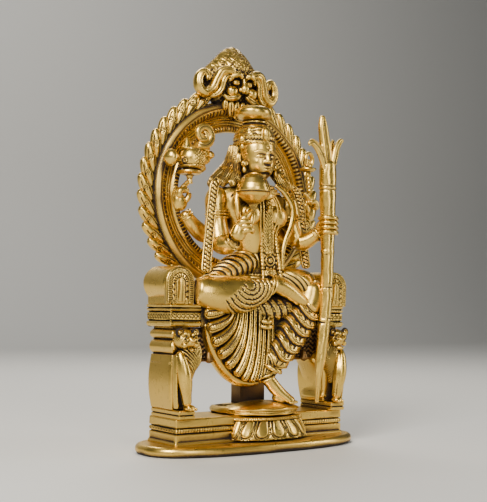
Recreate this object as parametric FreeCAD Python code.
import FreeCAD, Part
import math
import os

from FreeCAD import Vector

# Brass statue of a seated four-armed goddess on a lion throne, under a flame arch.
# Millimetres. X is to the viewer's right, -Y is the front, +Z is up, and the origin is
# the middle of the underside of the base plate. "left" and "right" are the viewer's.

# Driving dimensions
BASE_HALF_LENGTH = 86.0
BASE_HALF_DEPTH = 36.0
BASE_THICKNESS = 7.0
BASE_SQUARENESS = 2.6
PLINTH_HALF_LENGTH = 70.8
PLINTH_HALF_DEPTH = 17.3
PLINTH_TOP = 24.3
STOOL_RADIUS = 30.0
STOOL_TOP = 30.0
LEG_OUTER = 72.0
LEG_INNER = 57.0
LEG_FRONT = -14.0
LEG_BACK = 16.0
SEAT_UNDERSIDE = 84.0
SEAT_TOP = 99.0
BLOCK_OUTER = 75.0
BLOCK_INNER = 50.0
BOLSTER_CENTRE = 67.0
BOLSTER_RADIUS = 11.5
BOLSTER_TOP = 124.5
ARCH_CENTRE_HEIGHT = 178.0
ARCH_OUTER_RADIUS = 68.0
ARCH_BAND_RADIUS = 56.0
ARCH_INNER_RADIUS = 47.0
ARCH_FRONT = 20.0
ARCH_BACK = 28.0
FLAME_TIP_RADIUS = 79.5
FLAMES_PER_SIDE = 13
STATUE_HEIGHT = 290.0
SOCKET_CLEARANCE = 0.3
FACE_GAP = 0.2
TINY_VOLUME = 6.0

X_AXIS = Vector(1, 0, 0)
Y_AXIS = Vector(0, 1, 0)
Z_AXIS = Vector(0, 0, 1)


def box(x0, x1, y0, y1, z0, z1, fillet=0.0):
    """A block between two corners, with all its edges rounded by fillet."""
    shape = Part.makeBox(x1 - x0, y1 - y0, z1 - z0, Vector(x0, y0, z0))
    return shape.makeFillet(fillet, shape.Edges) if fillet else shape


def limb(points, radii):
    """Tapered rounded segments through the points, one radius at each point."""
    swell = 1.03
    places = [Vector(*point) for point in points]
    solids = [Part.makeSphere(swell * r, place) for r, place in zip(radii, places)]
    for index in range(len(places) - 1):
        along = places[index + 1] - places[index]
        start, end = radii[index], radii[index + 1]
        if abs(start - end) < 0.01:
            solids.append(Part.makeCylinder(start, along.Length, places[index], along))
        else:
            solids.append(Part.makeCone(start, end, along.Length, places[index], along))
    return solids[0].fuse(solids[1:]).removeSplitter()


def plate(outline, y0, y1):
    """A flat piece with a closed outline of (x, z) corners, from y0 back to y1."""
    corners = [Vector(x, y0, z) for x, z in outline]
    wire = Part.makePolygon(corners + corners[:1])
    return Part.Face(wire).extrude(Vector(0, y1 - y0, 0))


def turned(outline, centre):
    """A solid of revolution about a vertical axis: the outline is (radius, height) pairs."""
    corners = [Vector(r, 0, z) for r, z in outline]
    wire = Part.makePolygon(corners + corners[:1])
    shape = Part.Face(wire).revolve(Vector(0, 0, 0), Z_AXIS, 360)
    shape.translate(Vector(centre[0], centre[1], 0))
    return shape


def collar(centre, along, radius, width):
    """A short round band about an axis."""
    axis = Vector(*along).normalize()
    start = Vector(*centre) - axis * (width / 2)
    return Part.makeCylinder(radius, width, start, axis)


def mirrored(shape):
    """The same piece on the other side of the statue's middle plane."""
    return shape.mirror(Vector(0, 0, 0), X_AXIS)


def group(*shapes):
    """Several separate solids held as one piece."""
    return Part.makeCompound(list(shapes))


# Base and plinth

def base_plate():
    """A rounded oblong plate with a bullnosed edge."""
    points = []
    steps = 48
    power = 2.0 / BASE_SQUARENESS
    for index in range(steps):
        angle = 2 * math.pi * index / steps
        c, s = math.cos(angle), math.sin(angle)
        x = BASE_HALF_LENGTH * math.copysign(abs(c) ** power, c)
        y = BASE_HALF_DEPTH * math.copysign(abs(s) ** power, s)
        points.append(Vector(x, y, 0))
    curve = Part.BSplineCurve()
    curve.interpolate(points, PeriodicFlag=True)
    face = Part.Face(Part.Wire([curve.toShape()]))
    slab = face.extrude(Vector(0, 0, BASE_THICKNESS))
    rims = [edge for edge in slab.Edges if edge.Length > 4 * BASE_HALF_LENGTH]
    return slab.makeFillet(0.42 * BASE_THICKNESS, rims)


def plinth():
    """Two plain tiers with a rounded bead band between them."""
    bead_low, bead_high, inset = 14.6, 18.4, 1.4
    length, depth = PLINTH_HALF_LENGTH, PLINTH_HALF_DEPTH
    lower = box(-length, length, -depth, depth, BASE_THICKNESS, bead_low)
    upper = box(-length, length, -depth, depth, bead_high, PLINTH_TOP)
    core = box(inset - length, length - inset, inset - depth, depth - inset, bead_low, bead_high)
    return lower.fuse([core, upper])


def base_screws():
    """Four countersunk screws, up through the base plate into the plinth."""
    head_radius, shank_radius, tip = 4.0, 2.2, 19.0
    outline = [(0, 0.6), (head_radius, 0.6), (shank_radius, 3.0), (shank_radius, tip), (0, tip)]
    places = [(x, y) for x in (-52, 52) for y in (-9, 9)]
    return group(*[turned(outline, place) for place in places])


def lotus_apron():
    """A half-oval bulge of petals on the front of the plinth."""
    low_radius, high_radius, low, high, flatten = 33.0, 28.0, 7.4, 21.5, 0.42
    matrix = FreeCAD.Matrix()
    matrix.scale(1.0, flatten, 1.0)
    cone = Part.makeCone(low_radius, high_radius, high - low).transformGeometry(matrix)
    cone.translate(Vector(0, -PLINTH_HALF_DEPTH, low))
    front = box(-60, 60, -60, -PLINTH_HALF_DEPTH, low, high)
    return cone.common(front)


def footstool():
    """A round stepped disc on the plinth, cut straight at the back."""
    step = 27.2
    lower = Part.makeCylinder(STOOL_RADIUS, step - PLINTH_TOP, Vector(0, 0, PLINTH_TOP))
    upper = Part.makeCylinder(STOOL_RADIUS - 2.0, STOOL_TOP - step, Vector(0, 0, step))
    disc = lower.fuse(upper)
    return disc.common(box(-60, 60, -60, PLINTH_HALF_DEPTH, 0, 60))


def skirt_post():
    """The square stub that carries the front of the seat from the footstool."""
    return box(-9, 12, -2, 9, STOOL_TOP, SEAT_UNDERSIDE)


# Throne

def leg_block():
    """A low block on the plinth under a throne leg, with a rounded front."""
    return box(-71, -58, -21, 15, PLINTH_TOP, STOOL_TOP, 1.2)


def throne_leg():
    """An upright slab with two rounded mouldings below the arm block."""
    slab = box(-71, -LEG_INNER, LEG_FRONT, LEG_BACK, STOOL_TOP, 66, 1.5)
    neck = box(-69.5, -LEG_INNER - 1, LEG_FRONT + 1, LEG_BACK - 1, 60, SEAT_UNDERSIDE)
    broad = box(-LEG_OUTER - 1, -LEG_INNER + 1, LEG_FRONT, LEG_BACK, 66.8, 75.2, 3.4)
    narrow = box(-LEG_OUTER - 1, -LEG_INNER + 1, LEG_FRONT, LEG_BACK, 76.8, 82.2, 2.3)
    return slab.fuse([neck, broad, narrow])


def lion():
    """A small lion on the front of a throne leg: head, chest, one foreleg and a paw."""
    head = limb([(-66, -17, 76), (-65, -22, 72.5)], [7.0, 4.4])
    chest = limb([(-64, -16, 68), (-59, -16, 56)], [6.5, 4.0])
    foreleg = limb([(-67, -17, 64), (-67, -19, 46), (-65.5, -19, 36)], [5.2, 3.8, 3.2])
    paw = limb([(-65.5, -18.5, 33.4), (-65, -22, 32.6)], [3.2, 2.5])
    return head.fuse([chest, foreleg, paw])


def arm_block():
    """A moulded box in three bands, at the end of the seat."""
    front, back = LEG_FRONT - 1, LEG_BACK + 1
    low = box(-BLOCK_OUTER, -BLOCK_INNER, front, back, SEAT_UNDERSIDE, 88.6, 1.8)
    middle = box(-BLOCK_OUTER, -BLOCK_INNER, front, back, 88.8, 94.2, 2.2)
    high = box(-BLOCK_OUTER, -BLOCK_INNER, front, back, 94.4, SEAT_TOP, 1.8)
    core = box(1.5 - BLOCK_OUTER, -BLOCK_INNER, front + 1.5, back - 1.5, SEAT_UNDERSIDE, SEAT_TOP)
    return core.fuse([low, middle, high])


def bolster():
    """A horseshoe-ended cushion cast along the top of an arm block."""
    centre_height = BOLSTER_TOP - BOLSTER_RADIUS
    front, back = LEG_FRONT, LEG_BACK + 1
    roll = Part.makeCylinder(
        BOLSTER_RADIUS, back - front, Vector(-BOLSTER_CENTRE, front, centre_height), Y_AXIS
    )
    stand = box(
        -BOLSTER_CENTRE - 9, -BOLSTER_CENTRE + 9, front + 0.5, back - 0.5, SEAT_TOP, centre_height
    )
    return roll.fuse(stand)


def seat_slab():
    """The seat between the arm blocks, with a rear rail that holds the arch's two sockets."""
    inner = BLOCK_INNER - FACE_GAP
    seat = box(-inner, inner, LEG_FRONT + 1, LEG_BACK + 1.5, SEAT_UNDERSIDE, SEAT_TOP, 1.0)
    rail_front, rail_back, rail_half = LEG_BACK + 1.2, 31.0, 57.0
    rail = box(-rail_half, rail_half, rail_front, rail_back, SEAT_UNDERSIDE, SEAT_TOP - 1, 0.8)
    gap = SOCKET_CLEARANCE
    sockets = []
    for side in (-1, 1):
        low, high = sorted((side * 40.0, side * 49.0))
        socket = box(low - gap, high + gap, 22 - gap, 26 + gap, 87 - gap, SEAT_TOP + 1)
        sockets.append(socket)
    return seat.fuse(rail).cut(sockets)


def seat_apron():
    """The engraved board below the front of the seat."""
    return box(1 - LEG_INNER, LEG_INNER - 1, -9, -4, 61, SEAT_UNDERSIDE, 0.8)


# Arch

def arch_ring():
    """A flat ring with a thinner inner band, on two feet whose tenons drop into the seat rail."""
    depth = ARCH_BACK - ARCH_FRONT
    centre = Vector(0, ARCH_FRONT, ARCH_CENTRE_HEIGHT)
    rim = Part.makeCylinder(ARCH_OUTER_RADIUS, depth, centre, Y_AXIS)
    rim = rim.cut(Part.makeCylinder(ARCH_BAND_RADIUS, depth, centre, Y_AXIS))
    inset = centre + Vector(0, 1.5, 0)
    band = Part.makeCylinder(ARCH_BAND_RADIUS + 1, depth - 3, inset, Y_AXIS)
    band = band.cut(Part.makeCylinder(ARCH_INNER_RADIUS, depth - 3, inset, Y_AXIS))
    hole = Part.makeCylinder(ARCH_INNER_RADIUS + 1, depth, centre, Y_AXIS)
    feet = []
    for side in (-1, 1):
        low, high = sorted((side * 36.0, side * 53.0))
        foot = box(low, high, 21, 27, SEAT_TOP - 1 + SOCKET_CLEARANCE, 136)
        feet.append(foot.cut(hole))
        low, high = sorted((side * 40.0, side * 49.0))
        feet.append(box(low, high, 22, 26, 87, SEAT_TOP + 1))
    return rim.fuse([band] + feet)


def flame(angle):
    """One flame leaf: it leans up along the ring to its tip."""
    root, half_width, lean = ARCH_OUTER_RADIUS + FACE_GAP, 7.6, 9.0
    outline = [
        (-half_width, root),
        (-half_width * 0.85, root + 5.0),
        (0.0, root + 8.6),
        (lean, FLAME_TIP_RADIUS),
        (half_width * 1.05, root + 5.5),
        (half_width, root),
    ]
    corners = []
    for along, radius in outline:
        turn = angle + along / ARCH_OUTER_RADIUS
        x = -radius * math.cos(turn)
        corners.append((x, ARCH_CENTRE_HEIGHT + radius * math.sin(turn)))
    return plate(corners, ARCH_FRONT + 1, ARCH_BACK - 1)


def arch_flames():
    """The row of flame leaves up one side of the ring."""
    first, last = math.radians(-42), math.radians(69)
    step = (last - first) / (FLAMES_PER_SIDE - 1)
    leaves = [flame(first + index * step) for index in range(FLAMES_PER_SIDE)]
    core = Part.makeCylinder(
        ARCH_OUTER_RADIUS + FACE_GAP, 40, Vector(0, 0, ARCH_CENTRE_HEIGHT), Y_AXIS
    )
    return leaves[0].fuse(leaves[1:]).cut(core)


def kirtimukha():
    """The lion mask that crowns the arch, with scrolls at its sides and a hanging jaw."""
    half = [
        (0, STATUE_HEIGHT),
        (9, 284),
        (20, 272),
        (30, 273),
        (36, 265),
        (37, 254),
        (31, 246),
        (20, 247),
        (12, 240),
        (6, 232),
        (0, 230),
    ]
    outline = half + [(-x, z) for x, z in reversed(half[1:-1])]
    mask = plate(outline, 13.5, 27.5)
    ring_space = Part.makeCylinder(
        ARCH_OUTER_RADIUS + FACE_GAP, 12, Vector(0, ARCH_FRONT - FACE_GAP, ARCH_CENTRE_HEIGHT), Y_AXIS
    )
    return mask.cut(ring_space)


# Goddess

def torso():
    """Hips, waist, chest, shoulders and neck."""
    hips = limb([(-7, 3, 111), (18, 3, 111)], [13.5, 13.5])
    waist = limb([(5.5, 2, 120), (6, 1, 135), (5, 0, 150)], [15.0, 11.6, 13.0])
    chest = limb([(-8, 0, 164), (13, 0, 164)], [13.6, 13.6])
    shoulders = limb([(-17, 1, 175), (19, 1, 175)], [8.2, 8.2])
    neck = Part.makeCylinder(7.6, 16, Vector(2, 0, 178))
    return hips.fuse([waist, chest, shoulders, neck])


def head():
    """The head, narrower at the chin."""
    return limb([(2.5, -2.5, 205), (2.5, -5.0, 198)], [12.6, 10.0])


def crown():
    """A domed crown in bands, above the brow."""
    outline = [(0, 208), (16, 208), (17.5, 213), (16.5, 221), (11, 227.5), (9, 229.5), (0, 229.5)]
    return turned(outline, (0.5, 1))


def crown_finial():
    """A ring and a flattened ball on top of the crown."""
    outline = [(0, 229.5), (10, 229.5), (10, 231), (8.5, 231.6), (12, 233.6), (12.8, 236)]
    outline += [(12, 238.4), (8.5, 240.6), (0, 241.4)]
    return turned(outline, (0.5, -0.5))


def hair():
    """Locks from under the crown down to both shoulders."""
    left = limb([(-12, 2, 210), (-17, 1, 196), (-27, 0, 185), (-36, 0, 181)], [4, 5, 6, 3.4])
    right = limb([(16, 4, 210), (20, 3, 196), (28, 2, 187), (36, 2, 183)], [4, 5, 5.5, 3.2])
    back = limb([(2, 8, 207), (2, 9, 188), (2, 9, 172)], [9, 8, 6])
    return group(left, back, right)


def earrings():
    """A disc and a drop at each ear."""
    left = limb([(-11.8, -7.5, 198), (-12.4, -7.5, 191)], [3.0, 2.0])
    right = limb([(16.8, -6, 198), (17.4, -6, 191)], [3.0, 2.0])
    return group(left, right)


def necklace():
    """A thick collar about the base of the neck and a long pendant strand."""
    ring = Part.makeTorus(13.5, 2.6, Vector(2, -1.5, 182), Vector(0, -0.35, 1))
    pendant = limb([(5, -13.5, 172), (6, -15.5, 160)], [2.6, 2.2])
    return ring.fuse(pendant)


def waist_belt():
    """A moulded belt about the hips."""
    low, width, radius, spread = 117, 7, 15.4, 5.5
    left = Part.makeCylinder(radius, width, Vector(5.5 - spread, 2, low))
    right = Part.makeCylinder(radius, width, Vector(5.5 + spread, 2, low))
    middle = box(5.5 - spread, 5.5 + spread, 2 - radius, 2 + radius, low, low + width)
    return left.fuse([middle, right])


def medallion():
    """A ringed disc on the front of the waist, with the ornate panel below it."""
    disc = Part.makeCylinder(6.4, 6, Vector(7, -13.5, 130.5), Y_AXIS)
    panel = box(2.5, 11.5, -15, -8, 112, 126, 1.2)
    return disc.fuse(panel)


def garlands():
    """The two long strands that hang outside the arms, left one first."""
    left = limb(
        [(-34, -3, 183), (-38, -4, 160), (-41, -5, 140), (-44, -8, 121)], [3.0, 3.2, 3.3, 3.4]
    )
    right = limb(
        [(41, 3, 184), (47, 3, 163), (48, 2, 140), (49, 0, 126)], [3.2, 3.4, 3.4, 3.2]
    )
    return left, right


def left_front_arm():
    """The raised forearm bends forward at a full elbow."""
    return limb(
        [(-27, 0, 174), (-28, -1, 158), (-28, -2, 145), (-23, -17, 145)], [9.2, 7.6, 8.0, 5.2]
    )


def left_front_hand():
    """A hand that points up and holds the bud between finger and thumb."""
    palm = limb([(-22, -18, 149), (-19, -20, 156)], [5.2, 4.8])
    fingers = limb([(-18, -20, 158), (-14, -20, 165)], [3.6, 2.4])
    return palm.fuse(fingers)


def flower_bud():
    """A broad bud on a short stem."""
    outline = [(0, 163), (2.2, 163), (2.6, 168), (8, 171.5), (11.6, 175.5), (12, 180)]
    outline += [(10, 186), (5, 189.6), (0, 190.5)]
    return turned(outline, (-12, -19))


def right_front_arm():
    """The lower arm comes forward to hold the cane."""
    return limb(
        [(30, 1, 174), (36, -2, 158), (39, -6, 146), (47, -17, 151)], [9.0, 7.4, 7.4, 5.0]
    )


def right_front_hand():
    """A closed hand round the cane."""
    return limb([(48.5, -19, 153), (51, -24, 157)], [6.0, 7.4])


def left_rear_arm():
    """It reaches out from behind the shoulder."""
    return limb([(-18, 9, 150), (-33, 9, 148), (-42, 9, 154), (-50, 9, 161)], [6, 6.2, 5.6, 4.4])


def left_rear_hand():
    """A hand that holds up the vessel's stem."""
    palm = limb([(-52, 9, 164), (-54, 9, 170)], [4.6, 5.0])
    fingers = limb([(-52, 8, 173), (-48, 7, 180)], [3.6, 2.4])
    return palm.fuse(fingers)


def water_vessel():
    """A small spouted pot on a saucer, with a second ball, a cone and a curled handle."""
    stem = limb([(-47.5, 8, 182), (-48, 8, 189)], [2.6, 2.6])
    saucer = turned([(0, 188.6), (6, 188.6), (8.6, 190.2), (8, 191.6), (0, 191.6)], (-47, 8))
    pot = Part.makeSphere(9.4, Vector(-45, 8, 199.5))
    side_ball = limb([(-56, 8, 199), (-62, 8, 199)], [3.0, 6.0])
    cone = limb([(-48, 8, 207), (-50, 8, 213)], [4.4, 2.0])
    curl = Part.makeTorus(5.4, 1.9, Vector(-37, 9, 216.5), Y_AXIS)
    leaf = limb([(-38, 8, 205), (-32, 9, 210)], [3.4, 3.0])
    return pot.fuse([stem, saucer, side_ball, cone, curl, leaf])


def right_rear_arm():
    """It reaches out from behind the shoulder on the right."""
    return limb([(20, 9, 152), (37, 9, 150), (50, 9, 155), (58, 9, 163)], [6, 6, 5.4, 4.4])


def right_rear_hand():
    """A raised hand."""
    palm = limb([(59, 9, 166), (61, 9, 173)], [4.6, 5.0])
    fingers = limb([(61, 8, 175), (60, 7, 183)], [3.8, 2.6])
    return palm.fuse(fingers)


def noose():
    """A stem with a disc and a looped top."""
    stem = limb([(60, 8, 186), (59, 8, 200)], [2.6, 2.4])
    disc = limb([(57.4, 8, 202), (60, 8, 202)], [4.0, 4.0])
    loop = Part.makeTorus(3.6, 1.7, Vector(59.5, 8, 209.5), Y_AXIS)
    return stem.fuse([disc, loop])


def sugarcane_stalk():
    """A jointed cane from beside the lion's paw up through the front hand."""
    points = [(43, -25, 31), (42.5, -25, 52), (47, -25, 80), (50, -25, 108), (50, -25, 150), (50, -25, 203)]
    return limb(points, [1.6, 2.6, 3.6, 4.2, 5.2, 6.2])


def sugarcane_leaves():
    """Three leaves that fan out of the top of the cane."""
    middle = limb([(50, -25, 204), (47.5, -25, 221), (44.5, -25, 235.5)], [5.4, 4.4, 2.6])
    left = limb([(47, -25, 204), (39, -25, 211), (31.5, -26, 214)], [3.8, 2.8, 1.8])
    right = limb([(53, -25, 204), (59, -25, 212), (61.5, -26, 219)], [3.8, 2.8, 1.8])
    return middle.fuse([left, right])


def folded_leg():
    """The thigh goes out to the knee and the shin comes back across the seat."""
    thigh = limb([(-10, -2, 109), (-45, -10, 108)], [12.5, 10.4])
    shin = limb([(-45, -12, 107.5), (2, -17, 111)], [10.2, 7.6])
    return thigh.fuse(shin)


def folded_foot():
    """The foot that lies on the other thigh."""
    return limb([(6, -18, 114), (18, -20, 109), (37, -18, 101.5)], [5.6, 4.8, 3.2])


def pendent_leg():
    """The thigh goes out to the knee and the calf slants down to the ankle."""
    return limb(
        [(18, 0, 111), (42, -12, 112.5), (33, -14, 92), (18, -15, 70), (5, -15, 51)],
        [13, 11.4, 9.6, 8.2, 5.2],
    )


def pendent_foot():
    """The foot that rests on the footstool."""
    return limb([(6, -15, 44), (9, -15, 36), (21, -22, 33.6)], [4.6, 5.0, 3.2])


def anklets():
    """A ring at each ankle."""
    pendent = collar((4.5, -15, 50), (-0.5, 0, -0.75), 6.8, 4.0)
    folded = collar((1, -17, 112), (1, 0, -0.25), 9.0, 4.0)
    return group(pendent, folded)


def skirt_fan():
    """The fan of pleats that hangs between the legs."""
    outline = [(-50, 98), (-44, 76), (-38, 61), (-25, 50), (-10, 44.5), (3, 47), (8, 58), (32, 98)]
    return plate(outline, -19, -9.2)


def lap_pleats():
    """The bunched cloth on the lap, over the seat's front edge."""
    return limb([(-6, -12, 101), (14, -13, 103), (26, -13, 98)], [8.5, 9.5, 8])


def calf_drape():
    """The wrapped cloth about the calf."""
    return limb([(33, -14.5, 90), (22, -15.5, 74), (13, -15.5, 61)], [12.2, 11.2, 9.2])


def armlets():
    """A ring on each upper arm."""
    left = collar((-28, -0.9, 160), (0, 0, 1), 9.4, 5.0)
    right = collar((35.2, -1.6, 160), (0.3, -0.1, -1), 9.2, 5.0)
    return group(left, right)


def bangles():
    """A ring on each of the four wrists."""
    left_front = collar((-24, -14, 145), (5, -15, 0), 7.2, 4.0)
    right_front = collar((45, -14.4, 150), (8, -11, 5), 7.2, 4.0)
    left_rear = collar((-48, 9, 159.3), (-8, 0, 7), 6.2, 3.6)
    right_rear = collar((56, 9, 161), (8, 0, 8), 6.2, 3.6)
    return group(left_front, right_front, left_rear, right_rear)


def statue():
    """Every piece by name. Where two meet, the one named first keeps its shape."""
    left_garland, right_garland = garlands()
    left_flames = arch_flames()
    pieces = [
        ("base_screws", base_screws()),
        ("base_plate", base_plate()),
        ("plinth", plinth()),
        ("lotus_apron", lotus_apron()),
        ("footstool", footstool()),
        ("arch_ring", arch_ring()),
        ("kirtimukha", kirtimukha()),
        ("left_arch_flames", left_flames),
        ("right_arch_flames", mirrored(left_flames)),
        ("left_leg_block", leg_block()),
        ("right_leg_block", mirrored(leg_block())),
        ("left_arm_block", arm_block()),
        ("right_arm_block", mirrored(arm_block())),
        ("left_bolster", bolster()),
        ("right_bolster", mirrored(bolster())),
        ("seat_slab", seat_slab()),
        ("left_throne_leg", throne_leg()),
        ("right_throne_leg", mirrored(throne_leg())),
        ("left_lion", lion()),
        ("right_lion", mirrored(lion())),
        ("sugarcane_stalk", sugarcane_stalk()),
        ("sugarcane_leaves", sugarcane_leaves()),
        ("flower_bud", flower_bud()),
        ("water_vessel", water_vessel()),
        ("noose", noose()),
        ("head", head()),
        ("crown_finial", crown_finial()),
        ("crown", crown()),
        ("left_front_hand", left_front_hand()),
        ("right_front_hand", right_front_hand()),
        ("left_rear_hand", left_rear_hand()),
        ("right_rear_hand", right_rear_hand()),
        ("folded_foot", folded_foot()),
        ("pendent_foot", pendent_foot()),
        ("folded_leg", folded_leg()),
        ("pendent_leg", pendent_leg()),
        ("left_front_arm", left_front_arm()),
        ("right_front_arm", right_front_arm()),
        ("torso", torso()),
        ("left_rear_arm", left_rear_arm()),
        ("right_rear_arm", right_rear_arm()),
        ("armlets", armlets()),
        ("bangles", bangles()),
        ("anklets", anklets()),
        ("earrings", earrings()),
        ("necklace", necklace()),
        ("medallion", medallion()),
        ("waist_belt", waist_belt()),
        ("left_garland", left_garland),
        ("right_garland", right_garland),
        ("hair", hair()),
        ("calf_drape", calf_drape()),
        ("lap_pleats", lap_pleats()),
        ("skirt_fan", skirt_fan()),
        ("seat_apron", seat_apron()),
        ("skirt_post", skirt_post()),
    ]
    return pieces


def separated(pieces):
    """Cuts each piece by every earlier one that it meets, and drops specks."""
    finished = []
    for name, shape in pieces:
        near = [done for _, done in finished if shape.BoundBox.intersect(done.BoundBox)]
        if near:
            shape = shape.cut(near)
        solids = [solid for solid in shape.Solids if solid.Volume > TINY_VOLUME]
        whole = solids[0] if len(solids) == 1 else Part.makeCompound(solids)
        finished.append((name, whole))
    return finished


os.makedirs("parts", exist_ok=True)
for piece_name, piece_shape in separated(statue()):
    piece_shape.exportStep("parts/" + piece_name + ".step")
    print(piece_name, len(piece_shape.Solids), round(piece_shape.Volume), piece_shape.isValid())
